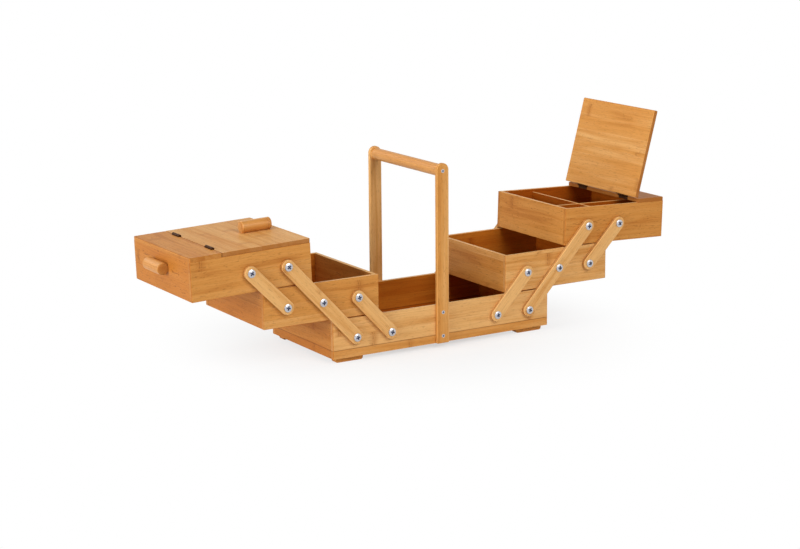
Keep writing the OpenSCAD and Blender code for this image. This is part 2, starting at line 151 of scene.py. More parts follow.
GRAIN_REACH = 4.0    # length of the bamboo that boards are cut from
STRIP_REACH = 40    # and its width in strips
STRIP_SHIFT = 3.0    # how far the streaks of two strips can be shifted
RING_COUNT = 9.0    # steps that the growth lines lie between
CULM_SHIFT = 7.0    # how far apart the culm nodes of two strips can be, in culm spacings
CULM_EDGE = 0.05    # how gradually they drop out, as a share of all
CULM_BOW = 0.008    # how strongly a culm node's lines bend from the middle of a strip to its edges
CULM_WANDER = 0.003    # how far they wander
RIDGE_GAP = 0.0036    # distance between the two lines
SECOND_SHARE = 0.6    # strength of the second line as a share of the first's
SHADOW_PLACE = 0.002    # middle of the shadow, from the first line

# Strengths that have no slider: the least one, and how much a board's tone and a strip's hue add to it
STREAK_LEAST = 0.05
STREAK_BY_BOARD = 0.4
STREAK_BY_STRIP = 0.2
LINE_LEAST = 0.15
LINE_BY_BOARD = 0.3

# What an edge tone of 1 adds of each colour: the brown and dark are painted shade on narrow sides and
# eased edges and the end grain's own colour on end faces; the pale, brought by a negative tone, is painted
# highlight, partly thinner lacquer.
EDGE_BROWN = 0.7
EDGE_DARK = 0.25
EDGE_PALE = -1.0

# Relief of the bamboo and of the metal, and how much their roughness changes with it
FIBRE_RELIEF = 0.5
FLECK_RELIEF = 0.4
CULM_RELIEF = 0.7
GRAIN_DEPTH = 0.0002
GRAIN_STRENGTH = 0.35
GRAIN_ROUGHNESS = 0.25
RUB_DEPTH = 0.00005
RUB_STRENGTH = 0.2
RUB_ROUGHNESS = 0.2

RECESS_DEPTH = 0.5    # height of a recess's cutting block as a share of its length; half of it goes in
FLOOR_SPREAD = 0.1    # how far from a recess's floor a vertex still counts as part of it
BAR_WIDTH = 0.32    # width of a recess's bar as a share of its length
BAR_FLOOR = (0.75, 0.8, 1)    # what its floor is scaled by
SHANK_SHARE = 0.54    # radius of a wood screw's shank as a share of its head's
RIM_SHARE = 0.06    # easing of its head's rim as a share of the head's radius
BOLT_RIM_SHARE = 0.25    # easing of a bolt head's rim as a share of the rim's height
SENSOR_WIDTH = 36    # of the camera, in millimetres

# How each bamboo differs from the walls'
BAMBOOS = {
    "Wall bamboo": {},
    # The bottoms' darker bamboo is in part a painted shade inside the boxes.
    "Deep bamboo": {"paleness": -0.3},
    "Pale bamboo": {"paleness": 0.12, "marks": 0.6},
    "Dowel bamboo": {"paleness": 0.15, "marks": 0.6, "coat": 0.3},
}
METALS = {
    "Zinc": {"plating": "zinc", "worn": (0.75, 0.75, 0.76), "roughness": 0.28},
    "Dark bronze": {"plating": "bronze", "worn": (0.16, 0.08, 0.035), "roughness": 0.6},
}

# Name, width and place of each light
LIGHTS = (
    ("key", 2.2, (0.2, -2.6, 2.0)),
    ("fill", 3.0, (-6.2, -1.0, 1.5)),
    ("top", 1.8, (-1.6, 0.1, 2.6)),
    ("back", 2.0, (-1.6, 2.9, 1.9)),
)


class JoinerySettings(bpy.types.PropertyGroup):
    """Sizes of the woodwork's finish"""

    board_easing: FloatProperty(
        name="Board easing", description="Rounding of the edges of walls, lids and strips",
        default=0.0007, min=0.0002, max=0.0015, unit="LENGTH")
    link_easing: FloatProperty(
        name="Link easing", description="Rounding of the edges of link bars and handle uprights",
        default=0.0011, min=0.0004, max=0.002, unit="LENGTH")
    small_easing: FloatProperty(
        name="Small easing", description="Rounding of the edges of dividers, feet and dowels",
        default=0.0005, min=0.0002, max=0.001, unit="LENGTH")
    metal_easing: FloatProperty(
        name="Metal easing", description="Rounding of the edges of hinges and sleeves",
        default=0.00015, min=0.00005, max=0.0003, unit="LENGTH")


class BambooSettings(bpy.types.PropertyGroup):
    """Pattern and colours of the bamboo"""

    strip_width: FloatProperty(
        name="Strip width", description="Width of the bamboo strips that a board is glued from",
        default=0.022, min=0.005, max=0.05, unit="LENGTH")
    culm_spacing: FloatProperty(
        name="Culm spacing", description="Distance between the culm nodes along a strip",
        default=0.3, min=0.1, max=0.6, unit="LENGTH")
    culm_share: FloatProperty(
        name="Culm share", description="Share of the culm nodes that still show after planing",
        default=0.5, min=0.0, max=1.0)
    first_seam: FloatProperty(
        name="First seam", description="Height of the lowest glue seam above the base walls' lower edge",
        default=0.0135, min=0.0, max=0.022, unit="LENGTH")
    pale: FloatVectorProperty(
        name="Pale", description="Lightest bamboo", subtype="COLOR", default=(0.74, 0.42, 0.155))
    honey: FloatVectorProperty(
        name="Honey", description="Main bamboo colour", subtype="COLOR", default=(0.6, 0.263, 0.058))
    amber: FloatVectorProperty(
        name="Amber", description="Deeper, redder bamboo", subtype="COLOR", default=(0.5, 0.18, 0.028))
    brown: FloatVectorProperty(
        name="Brown", description="Smoky streaks", subtype="COLOR", default=(0.4, 0.135, 0.022))
    dark: FloatVectorProperty(
        name="Dark", description="Flecks, seams and culm nodes", subtype="COLOR",
        default=(0.15, 0.04, 0.006))
    # Painted shade: the inner faces of the boxes are multiplied by this colour, which stands for the shade
    # inside them.
    inner_shade_colour: FloatVectorProperty(
        name="Inner tint", description="What the bare inner faces are multiplied by", subtype="COLOR",
        default=(0.7, 0.39, 0.09))
    fibres: FloatProperty(
        name="Fibres", description="Strength of the brown fibres", default=0.4, min=0.0, max=1.0)
    flecks: FloatProperty(
        name="Flecks", description="Strength of the short dark flecks", default=0.42, min=0.0, max=1.0)
    culm_lines: FloatProperty(
        name="Culm lines", description="Strength of the lines of the culm nodes",
        default=0.7, min=0.0, max=1.0)
    culm_shadows: FloatProperty(
        name="Culm shadows", description="Strength of the shadows round the culm nodes",
        default=0.45, min=0.0, max=1.0)
    seams: FloatProperty(
        name="Seams", description="Strength of the glue seams between strips",
        default=0.18, min=0.0, max=1.0)
    first_line: FloatProperty(
        name="First line", description="Strength of the base walls' lowest glue seam",
        default=0.6, min=0.0, max=1.0)
    strip_contrast: FloatProperty(
        name="Strip contrast", description="How much the strips of a board differ in tone",
        default=0.5, min=0.0, max=1.0)
    smoke_contrast: FloatProperty(
        name="Smoke contrast", description="How much the tone changes along and across a strip",
        default=0.6, min=0.0, max=1.0)
    lowest_strip: FloatProperty(
        name="Lowest strip", description="How much deeper the base walls' lowest strip is",
        default=0.4, min=0.0, max=1.0)
    roughness: FloatProperty(
        name="Roughness", description="Roughness of the wood", default=0.5, min=0.1, max=0.9)
    coat: FloatProperty(
        name="Coat", description="Weight of the clear lacquer", default=0.03, min=0.0, max=1.0)
    coat_roughness: FloatProperty(
        name="Coat roughness", description="Roughness of the clear lacquer", default=0.3, min=0.0, max=1.0)
    gloss: FloatProperty(
        name="Gloss", description="Strength of the wood's own reflection",
        default=0.12, min=0.0, max=1.0)


class HardwareSettings(bpy.types.PropertyGroup):
    """Sizes and colours of the bolts, screws and hinges"""

    bolt_head_height: FloatProperty(
        name="Bolt head height", description="Height of a pivot bolt's domed head",
        default=0.0026, min=0.001, max=0.004, unit="LENGTH")
    bolt_rim_height: FloatProperty(
        name="Bolt rim height", description="Straight part of a bolt head's rim",
        default=0.0012, min=0.0002, max=0.002, unit="LENGTH")
    bolt_radius: FloatProperty(
        name="Bolt radius", description="Radius of a pivot bolt's shank",
        default=0.002, min=0.001, max=0.003, unit="LENGTH")
    recess_share: FloatProperty(
        name="Recess share", description="Length of a cross recess as a share of its head's width",
        default=0.64, min=0.2, max=0.7)
    zinc: FloatVectorProperty(
        name="Zinc", description="Bright zinc plating", subtype="COLOR", default=(0.5, 0.5, 0.53))
    # Painted shade: the colour that the floors of the cross recesses are darkened to.
    recess_shade: FloatVectorProperty(
        name="Grime", description="Darkened metal down in the cross recesses", subtype="COLOR",
        default=(0.09, 0.1, 0.16))
    bronze: FloatVectorProperty(
        name="Bronze", description="Dark bronze plating", subtype="COLOR", default=(0.05, 0.019, 0.006))
    wear: FloatProperty(
        name="Wear", description="Share of the worn colour where it breaks through most",
        default=0.5, min=0.0, max=1.0)


class StudioSettings(bpy.types.PropertyGroup):
    """Camera, floor and lights"""

    camera_place: FloatVectorProperty(
        name="Camera place", description="Where the camera stands", subtype="TRANSLATION", unit="LENGTH",
        default=(-1.7067, -2.7523, 0.8320))
    camera_turn: FloatVectorProperty(
        name="Camera turn", description="How the camera is turned", subtype="EULER",
        default=(math.radians(77.274), math.radians(0.467), math.radians(-31.603)))
    camera_lens: FloatProperty(
        name="Camera lens", description="Focal length in millimetres on a 36 mm sensor",
        default=90.865, min=20, max=200)
    floor_size: FloatProperty(
        name="Floor size", description="Width of the floor", default=60.0, min=5, max=100, unit="LENGTH")
    floor_tone: FloatProperty(
        name="Floor tone", description="Grey level of the floor", default=0.86, min=0, max=1)
    floor_lift: FloatProperty(
        name="Floor lift", description="Share of plain white that is seen on the floor by the object",
        default=0.55, min=0, max=1)
    floor_fade: FloatProperty(
        name="Floor fade", description="Distance at which the floor is seen as plain white",
        default=0.45, min=0.3, max=5, unit="LENGTH")
    ambient: FloatProperty(
        name="Ambient", description="Strength of the light from all round", default=0.05, min=0, max=2)
    key_power: FloatProperty(
        name="Key power", description="Power of the large light high in front",
        default=69, min=0, max=500, unit="POWER")
    fill_power: FloatProperty(
        name="Fill power", description="Power of the low light at the left",
        default=280, min=0, max=1000, unit="POWER")
    top_power: FloatProperty(
        name="Top power", description="Power of the light overhead",
        default=26, min=0, max=500, unit="POWER")
    back_power: FloatProperty(
        name="Back power", description="Power of the light behind",
        default=18, min=0, max=500, unit="POWER")


class CarrierSettings(bpy.types.PropertyGroup):
    """All settings of the sewing carrier"""

    joinery: PointerProperty(type=JoinerySettings, name="Joinery", description="Woodwork")
    bamboo: PointerProperty(type=BambooSettings, name="Bamboo", description="Bamboo")
    hardware: PointerProperty(type=HardwareSettings, name="Hardware", description="Metal parts")
    studio: PointerProperty(type=StudioSettings, name="Studio", description="Stage")


def settings():
    return bpy.context.scene.sewing_carrier


class Wire:
    """A socket in a node tree. An expression on wires adds the Math nodes that work it out."""

    def __init__(self, tree, socket=None):
        self.tree = tree
        self.socket = socket

    def node(self, kind, options, sockets, output=0):
        """Adds a node of a kind, with its options first and then its sockets' values or links."""
        node = self.tree.nodes.new(kind)
        for name, value in options.items():
            setattr(node, name, value)
        for name, value in sockets.items():
            if isinstance(value, Wire):
                self.tree.links.new(value.socket, node.inputs[name])
            else:
                node.inputs[name].default_value = value
        return Wire(self.tree, node.outputs[output] if node.outputs else None)

    def output(self, name):
        return Wire(self.tree, self.socket.node.outputs[name])

    def math(self, operation, *values):
        return self.node("ShaderNodeMath", {"operation": operation}, dict(enumerate(values)))

    def __add__(self, other):
        return self.math("ADD", self, other)

    __radd__ = __add__

    def __mul__(self, other):
        return self.math("MULTIPLY", self, other)

    def __sub__(self, other):
        return self.math("SUBTRACT", self, other)

    def __truediv__(self, other):
        return self.math("DIVIDE", self, other)

    def __abs__(self):
        return self.math("ABSOLUTE", self)

    def floor(self):
        return self.math("FLOOR", self)

    def rise(self, low, high):
        """Goes smoothly from 0 at low to 1 at high."""
        return self.node("ShaderNodeMapRange", {"interpolation_type": "SMOOTHSTEP"},
                         {"Value": self, "From Min": low, "From Max": high})

    def mix(self, colour, other, share, blend="MIX"):
        """A colour that goes over to another by a share from 0 to 1."""
        def full(value):
            return value if isinstance(value, Wire) else (*value, 1)
        return self.node("ShaderNodeMix", {"data_type": "RGBA", "blend_type": blend},
                         {0: share, 6: full(colour), 7: full(other)}, 2)

    def attribute(self, name, output="Fac"):
        return self.node("ShaderNodeAttribute", {"attribute_name": name}, {}, output)

    def seen(self):
        """1 for what the camera sees, straight or by a reflection, and 0 for light between surfaces."""
        path = self.node("ShaderNodeLightPath", {}, {}, "Is Camera Ray")
        return path + path.output("Is Glossy Ray") + path.output("Is Transmission Ray")

    def fibres(self, place, length, width, detail, distortion):
        """Noise drawn out along the grain, in streaks of about this length and width."""
        stretched = self.node("ShaderNodeVectorMath", {"operation": "MULTIPLY"},
                              {0: place, 1: (1 / length, 1 / width, 1 / width)})
        return self.node("ShaderNodeTexNoise", {},
                         {"Vector": stretched, "Scale": 1.0, "Detail": detail, "Distortion": distortion})


def surface(name):
    """A new material with an empty node tree, and a wire to start from."""
    finish = bpy.data.materials.new(name)
    finish.use_nodes = True
    finish.node_tree.nodes.clear()
    return finish, Wire(finish.node_tree)


def close_surface(start, shader):
    start.node("ShaderNodeOutputMaterial", {}, {"Surface": shader})


def growth_lines(start, place, ragged):
    """The edges of a slow noise's steps, broken into dashes."""
    rings = start.fibres(place, *RINGS) * RING_COUNT
    return abs(rings - rings.floor() - 0.5).rise(*RING_BAND) * ragged.rise(*RING_DASHES)


def culm_nodes(start, along, strip, in_strip, phase, ragged, marks):
    """Two ragged lines across some strips, bowed like the culm's wall, and the shadow round them."""
    look = settings().bamboo
    culm = along / look.culm_spacing + phase * CULM_SHIFT
    chance = start.node("ShaderNodeTexWhiteNoise", {"noise_dimensions": "2D"}, {
        "Vector": start.node("ShaderNodeCombineXYZ", {}, {0: culm.floor(), 1: strip})})
    shown = chance.rise(look.culm_share + CULM_EDGE, look.culm_share - CULM_EDGE) * marks
    from_middle = in_strip - 0.5
    bow = from_middle * from_middle * CULM_BOW
    gap = (culm - culm.floor() - 0.5) * look.culm_spacing + bow + (ragged - 0.5) * CULM_WANDER
    ridges = abs(gap).rise(*RIDGE) + abs(gap - RIDGE_GAP).rise(*SECOND_RIDGE) * SECOND_SHARE
    shadow = abs(gap - SHADOW_PLACE).rise(*CULM_SHADOW)
    return ridges * ragged.rise(*CULM_DASHES) * shown * CULM_RELIEF, shadow * shown


def bamboo(name, paleness=0.0, marks=1.0, coat=None):
    """Lacquered bamboo of glued strips, with fibres, flecks, smoky streaks and the culm's nodes."""
    look = settings().bamboo
    finish, start = surface(name)

    along = start.node("ShaderNodeSeparateXYZ", {}, {"Vector": start.attribute("grain", "Vector")})
    across, through = along.output("Y"), along.output("Z")
    strips = across / look.strip_width
    strip = strips.floor()
    in_strip = strips - strip
    chance = start.node("ShaderNodeTexWhiteNoise", {"noise_dimensions": "1D"}, {"W": strip}, "Color")
    strip_tone = start.node("ShaderNodeSeparateColor", {}, {"Color": chance})
    strip_phase, strip_hue = strip_tone.output("Green"), strip_tone.output("Blue")
    board_tone = start.attribute("tone")
    edge_tone = start.attribute("edge_tone")

    shifted = along + strip_phase * STRIP_SHIFT
    own = start.node("ShaderNodeCombineXYZ", {}, {0: shifted, 1: across, 2: through})
    smoke = start.fibres(own, *SMOKE)
    fibre = start.fibres(own, *FIBRE)
    fleck = start.fibres(own, *FLECK).rise(*FLECK_BAND)
    ragged = start.fibres(own, *RAGGED)
    line = growth_lines(start, own, ragged)
    culm_mark, culm_shadow = culm_nodes(start, along, strip, in_strip, strip_phase, ragged, marks)

    seam = abs(in_strip - 0.5).rise(*SEAM_BAND) * strip_hue.rise(*SEAM_HUES)
    above_seam = across - start.attribute("first_seam")
    lowest = above_seam.rise(*LOWEST_STRIP)
    first_line = abs(above_seam).rise(*FIRST_SEAM)

    shade = strip_tone * look.strip_contrast + smoke.rise(*SHADE_BAND) * look.smoke_contrast
    shade = shade + lowest * look.lowest_strip + board_tone - paleness
    streak_share = STREAK_LEAST + board_tone * STREAK_BY_BOARD + strip_hue * STREAK_BY_STRIP
    streak = smoke.rise(*STREAK_BAND) * streak_share * marks
    colour = start.mix(look.pale, look.honey, shade.rise(*HONEY_BAND))
    colour = start.mix(colour, look.amber, shade.rise(*AMBER_BAND))
    colour = start.mix(colour, look.brown, streak)
    colour = start.mix(colour, look.brown, fibre.rise(*FIBRE_BAND) * look.fibres)
    colour = start.mix(colour, look.dark, line * (LINE_LEAST + board_tone * LINE_BY_BOARD))
    colour = start.mix(colour, look.dark, fleck * look.flecks)
    colour = start.mix(colour, look.brown, culm_shadow * look.culm_shadows)
    colour = start.mix(colour, look.dark, culm_mark * look.culm_lines)
    colour = start.mix(colour, look.dark, seam * look.seams + first_line * look.first_line)
    # Painted light on narrow sides and eased edges: brown and dark for painted shade, pale for painted
    # highlight; on end faces the brown is the end grain's own.
    colour = start.mix(colour, look.brown, edge_tone * EDGE_BROWN)
    colour = start.mix(colour, look.dark, edge_tone * EDGE_DARK)
    colour = start.mix(colour, look.pale, edge_tone * EDGE_PALE)
    # Painted shade inside the boxes: the inner faces are multiplied by the inner shade colour.
    colour = start.mix(colour, look.inner_shade_colour, start.attribute("inside"), "MULTIPLY")

    height = fibre * FIBRE_RELIEF - fleck * FLECK_RELIEF - culm_mark - seam
    normal = start.node("ShaderNodeBump", {}, {
        "Strength": GRAIN_STRENGTH, "Distance": GRAIN_DEPTH, "Height": height})
    close_surface(start, start.node("ShaderNodeBsdfPrincipled", {}, {
        "Base Color": colour, "Roughness": look.roughness + (fibre - 0.5) * GRAIN_ROUGHNESS,
        "Specular IOR Level": look.gloss, "Coat Weight": coat or look.coat,
        "Coat Roughness": look.coat_roughness, "Normal": normal}))
    return finish


def metal(name, plating, worn, roughness):
    """Plated metal: slightly cloudy, with faint rub marks, a worn colour that breaks through and a painted
    shade down in the cross recesses.
    """
    hardware = settings().hardware
    finish, start = surface(name)
    place = start.node("ShaderNodeTexCoord", {}, {}, "Object")
    cloud = start.fibres(place, *CLOUD)
    rub = start.fibres(place, *RUB)
    tint = start.mix(getattr(hardware, plating), worn, cloud.rise(*WORN_BAND) * hardware.wear)
    # Painted shade down in the cross recesses, darkest on their floors.
    tint = start.mix(tint, hardware.recess_shade, start.attribute("recess").rise(*RECESS_SHADE_BAND))
    normal = start.node("ShaderNodeBump", {}, {
        "Strength": RUB_STRENGTH, "Distance": RUB_DEPTH, "Height": rub})
    close_surface(start, start.node("ShaderNodeBsdfPrincipled", {}, {
        "Base Color": tint, "Metallic": 1.0, "Roughness": roughness + (rub - 0.5) * RUB_ROUGHNESS,
        "Normal": normal}))
    return finish


def material(name):
    """The finish of this name, made when it is first asked for."""
    if name in bpy.data.materials:
        return bpy.data.materials[name]
    if name in METALS:
        return metal(name, **METALS[name])
    return bamboo(name, **BAMBOOS[name])


def merged_copy(node):
    """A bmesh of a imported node, its loose triangles merged into whole faces."""
    shape = bmesh.new()
    shape.from_mesh(NODES[node].data)
    bmesh.ops.remove_doubles(shape, verts=shape.verts, dist=WELD)
    bmesh.ops.dissolve_limit(shape, angle_limit=COPLANAR, verts=shape.verts, edges=shape.edges)
    return shape


def neighbours(node):
    """A search tree of what else rides on the same body as a node."""
    others = bmesh.new()
    for other in MEMBERS[BODY[node]]:
        if other != node:
            others.from_mesh(NODES[other].data)
    tree = BVHTree.FromBMesh(others)
    others.free()
    return tree


def ease(shape, easing, touching):
    """Rounds the convex edges, apart from those in a glued joint."""
    def free(edge):
        middle = (edge.verts[0].co + edge.verts[1].co) / 2
        return touching.find_nearest(middle, TOUCH)[0] is None

    corners = [edge for edge in shape.edges if edge.is_manifold and edge.is_convex]
    sharp = [edge for edge in corners if edge.calc_face_angle() > SHARP and free(edge)]
    bmesh.ops.bevel(shape, geom=sharp, offset=easing, offset_type="OFFSET", segments=EASING_STEPS,
                    profile=0.5, affect="EDGES", clamp_overlap=False, material=-1)


def mark_inner_shade(shape, node):
    """Marks the faces that have walls of their own box on all four sides, for a painted shade inside the
    boxes.
    """
    box = bmesh.new()
    for other in MEMBERS[BODY[node]]:
        if "walls" in other:
            box.from_mesh(NODES[other].data)
    walls = BVHTree.FromBMesh(box)
    box.free()
    inside = shape.faces.layers.float.new("inside")
    shape.normal_update()
    for face in shape.faces:
        start = face.calc_center_median() + face.normal * TOUCH
        rim = "divider" in node and face.normal.z > TURNED_TO
        hidden = all(walls.ray_cast(start, way)[0] is not None for way in LEVEL_WAYS)
        if hidden and not rim:
            face[inside] = LIT_SHARE if node in LIT_INSIDE else 1


def solids(shape):
    """The separate solids of a mesh, as lists of vertices in the mesh's own order."""
    seen = set()
    for first in shape.verts:
        if first in seen:
            continue
        seen.add(first)
        found = [first]
        for vert in found:
            near = [edge.other_vert(vert) for edge in vert.link_edges]
            fresh = [other for other in near if other not in seen]
            seen.update(fresh)
            found.extend(fresh)
        yield found


def forward(axis):
    """The axis or its opposite, whichever has its largest part positive."""
    return axis if max(axis, key=abs) > 0 else -axis


def longest_edge(verts):
    edges = (edge for vert in verts for edge in vert.link_edges)
    ends = max(edges, key=lambda edge: edge.calc_length()).verts
    return forward((ends[1].co - ends[0].co).normalized())


def board_axes(verts):
    """A board's own axes: along its longest edge, across its widest face and through it."""
    along = longest_edge(verts)
    faces = (face for vert in verts for face in vert.link_faces)
    sides = (face for face in faces if abs(face.normal.dot(along)) < TURNED_TO)
    through = forward(max(sides, key=lambda face: face.calc_area()).normal)
    return along, forward(through.cross(along)), through


def face_tone(normal, axes, side_tone_and_light, edge_tone):
    """The tone of a face: of a board's end, of its narrow side, of an eased edge or of a wide face. The
    side and edge tones are painted light.
    """
    along, through = abs(normal.dot(axes[0])), abs(normal.dot(axes[2]))
    if along > END_FACE:
        return max(side_tone_and_light, END_GRAIN)
    if through < NARROW_SIDE:
        return side_tone_and_light
    return edge_tone if through < WIDE_FACE else 0


def draw_grain(shape, name, tone, side_tone_and_light, edge_tone, first_seam):
    """Gives each board its own place in the bamboo: grain runs along it, from a spot of its own."""
    draw = random.Random(name)
    width = settings().bamboo.strip_width
    grain = shape.verts.layers.float_vector.new("grain")
    tones = shape.verts.layers.float.new("tone")
    seams = shape.verts.layers.float.new("first_seam")
    edge_tones_and_light = shape.faces.layers.float.new("edge_tone")
    shape.normal_update()
    for verts in solids(shape):
        axes = board_axes(verts)
        low = Vector([min(vert.co.dot(axis) for vert in verts) for axis in axes])
        seam = first_seam or draw.uniform(0, width)
        start = Vector((draw.uniform(0, GRAIN_REACH), draw.randrange(1, STRIP_REACH) * width - seam,
                        draw.uniform(0, 1)))
        board_tone = tone + draw.uniform(-TONE_SPREAD, TONE_SPREAD)
        for vert in verts:
            vert[grain] = Vector([vert.co.dot(axis) for axis in axes]) - low + start
            vert[tones] = board_tone
            vert[seams] = start.y + seam if first_seam else 0
            for face in vert.link_faces:
                face[edge_tones_and_light] = face_tone(face.normal, axes, side_tone_and_light, edge_tone)


def finish_piece(node, shape, finish):
    """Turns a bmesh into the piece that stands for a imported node."""
    mesh = bpy.data.meshes.new(node + "_finished")
    for face in shape.faces:
        face.smooth = True
    for edge in shape.edges:
        edge.smooth = True
    shape.to_mesh(mesh)
    shape.free()
    if "custom_normal" in mesh.attributes:
        mesh.attributes.remove(mesh.attributes["custom_normal"])
    mesh.set_sharp_from_angle(angle=CREASE)
    mesh.materials.append(material(finish))
    piece = bpy.data.objects.new(mesh.name, mesh)
    bpy.context.scene.collection.objects.link(piece)
    piece.modifiers.new("Weighted normals", "WEIGHTED_NORMAL").keep_sharp = True
    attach(piece, BODY[node])
    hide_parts(node)


def make_boards(nodes, easing, finish, tone, side_tone_and_light=0.0, edge_tone=0.0, first_seam=0.0):
    """Finishes nodes of wood: their edges eased by this much, in tones of their own."""
    for node in nodes:
        shape = merged_copy(node)
        ease(shape, easing, neighbours(node))
        mark_inner_shade(shape, node)
        draw_grain(shape, node, tone, side_tone_and_light, edge_tone, first_seam)
        finish_piece(node, shape, finish)


def make_metal(nodes, finish):
    """Finishes nodes of metal that aren't turned."""
    for node in nodes:
        shape = merged_copy(node)
        ease(shape, settings().joinery.metal_easing, neighbours(node))
        finish_piece(node, shape, finish)


def both(*names):
    """The nodes of these names on the left and on the right."""
    return [f"{side}_{name}" for name in names for side in SIDES]


def screw_seats(node):
    """For each screw a frame on top of its head with +Z outwards, the head's radius and its length."""
    shape = merged_copy(node)
    for verts in solids(shape):
        axis = longest_edge(verts)
        side = axis.orthogonal().normalized()
        rows = Matrix((side, axis.cross(side), axis))
        spots = [rows @ vert.co for vert in verts]
        low = Vector([min(spot[i] for spot in spots) for i in range(3)])
        high = Vector([max(spot[i] for spot in spots) for i in range(3)])
        middle = (low + high) / 2
        rim = max(spots, key=lambda spot: (spot - middle).xy.length)
        outwards = 1 if rim.z > middle.z else -1
        top = Vector((middle.x, middle.y, high.z if outwards > 0 else low.z))
        turn = rows.transposed() @ Matrix.Diagonal((1, outwards, outwards))
        seat = Matrix.Translation(rows.transposed() @ top) @ turn.to_4x4()
        yield seat, (high.x - low.x) / 2, high.z - low.z
    shape.free()


def turned(outline):
    """A solid of revolution about Z: its outline runs from the axis back to the axis."""
    shape = bmesh.new()
    points = [shape.verts.new((radius, 0, height)) for radius, height in outline]
    edges = [shape.edges.new(pair) for pair in zip(points, points[1:])]
    bmesh.ops.spin(shape, geom=points + edges, cent=(0, 0, 0), axis=(0, 0, 1), dvec=(0, 0, 0),
                   angle=math.tau, steps=SPIN_STEPS, use_merge=True)
    bmesh.ops.remove_doubles(shape, verts=shape.verts, dist=WELD)
    bmesh.ops.recalc_face_normals(shape, faces=shape.faces)
    return shape


def bolt_outline(radius, length):
    """A domed head over a plain shank, the top at Z = 0."""
    hardware = settings().hardware
    drop = hardware.bolt_head_height - hardware.bolt_rim_height
    curve = (radius * radius + drop * drop) / (2 * drop)
    dome = [radius * step / DOME_STEPS for step in range(DOME_STEPS)]
    rim = hardware.bolt_rim_height * BOLT_RIM_SHARE
    return [(r, math.sqrt(curve * curve - r * r) - curve) for r in dome] + [
        (radius - rim / 2, -drop), (radius, -drop - rim), (radius, -hardware.bolt_head_height + rim),
        (radius - rim, -hardware.bolt_head_height), (hardware.bolt_radius, -hardware.bolt_head_height),
        (hardware.bolt_radius, -length), (0, -length)]


def wood_screw_outline(radius, length):
    """A countersunk head, slightly eased at its rim, over a plain shank."""
    shank = radius * SHANK_SHARE
    rim = radius * RIM_SHARE
    return [(0, 0), (radius - 2 * rim, 0), (radius - rim / 2, -rim / 2), (radius - rim, -1.5 * rim),
            (shank, -radius + shank), (shank, -length), (0, -length)]


def solid_object(name, shape):
    mesh = bpy.data.meshes.new(name)
    shape.to_mesh(mesh)
    shape.free()
    made = bpy.data.objects.new(name, mesh)
    bpy.context.scene.collection.objects.link(made)
    return made


def recess_bar(length, turn):
    """One bar of a cross recess: a block that narrows as it goes down."""
    shape = bmesh.new()
    bmesh.ops.create_cube(shape, size=1)
    bmesh.ops.scale(shape, vec=(length, length * BAR_WIDTH, length * RECESS_DEPTH), verts=shape.verts)
    floor = [vert for vert in shape.verts if vert.co.z < 0]
    bmesh.ops.scale(shape, vec=BAR_FLOOR, verts=floor)
    bmesh.ops.rotate(shape, matrix=Matrix.Rotation(turn, 3, "Z"), verts=shape.verts)
    return solid_object("recess_bar", shape)


def with_recess(shape, length):
    """The mesh of a turned screw with a cross recess cut into its top, the recess's floor marked for a
    painted shade.
    """
    head = solid_object("screw_head", shape)
    bars = [recess_bar(length, turn) for turn in (0, math.pi / 2)]
    for bar in bars:
        cut = head.modifiers.new("Recess", "BOOLEAN")
        cut.operation = "DIFFERENCE"
        cut.object = bar
    made = bpy.data.meshes.new_from_object(head.evaluated_get(bpy.context.evaluated_depsgraph_get()))
    for used in (head, *bars):
        bpy.data.objects.remove(used)
    depth = length * RECESS_DEPTH / 2
    marks = made.attributes.new("recess", "FLOAT", "POINT")
    for vert, mark in zip(made.vertices, marks.data):
        mark.value = vert.co.xy.length < length / 2 and abs(vert.co.z + depth) < FLOOR_SPREAD * depth
    return made


def make_screws(node, outline, finish):
    """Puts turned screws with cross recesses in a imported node's seats, each at an angle of its own."""
    draw = random.Random(node)
    seats = list(screw_seats(node))
    _, radius, length = seats[0]
    pattern = with_recess(turned(outline(radius, length)), 2 * radius * settings().hardware.recess_share)
    shape = bmesh.new()
    for seat, _, _ in seats:
        old = set(shape.verts)
        shape.from_mesh(pattern)
        fresh = [vert for vert in shape.verts if vert not in old]
        turn = Matrix.Rotation(draw.uniform(0, math.tau), 4, "Z")
        bmesh.ops.transform(shape, matrix=seat @ turn, verts=fresh)
    finish_piece(node, shape, finish)


class CARRIER_OT_walls(bpy.types.Operator):
    """Finish the walls of the base and of the four trays"""

    bl_idname = "carrier.walls"
    bl_label = "Walls"

    def execute(self, context):
        easing = settings().joinery.board_easing
        seam = settings().bamboo.first_seam
        for node, tone, first_seam in (
                ("base_long_walls", 0.05, seam), ("base_end_walls", 1.0, seam),
                ("left_mid_long_walls", 0.45, 0), ("right_mid_long_walls", 0.0, 0),
                ("left_top_long_walls", 0.75, 0), ("right_top_long_walls", 0.95, 0),
                # The left middle end walls' deep tone is in part a painted shade under the top tray.
                ("left_mid_end_walls", 1.2, 0), ("right_mid_end_walls", 0.75, 0),
                ("left_top_end_walls", 1.6, 0), ("right_top_end_walls", 0.85, 0)):
            # The negative side and edge tones paint highlights on the rims and eased edges, partly thinner
            # lacquer.
            make_boards([node], easing, "Wall bamboo", tone, side_tone_and_light=-1.0, edge_tone=-0.8,
                        first_seam=first_seam)
        return {"FINISHED"}


class CARRIER_OT_bottoms(bpy.types.Operator):
    """Finish the bottom panels of the base and of the four trays"""

    bl_idname = "carrier.bottoms"
    bl_label = "Bottoms"

    def execute(self, context):
        make_boards(["base_bottom"] + both("mid_bottom", "top_bottom"), settings().joinery.small_easing,
                    "Deep bamboo", tone=0.9)
        return {"FINISHED"}


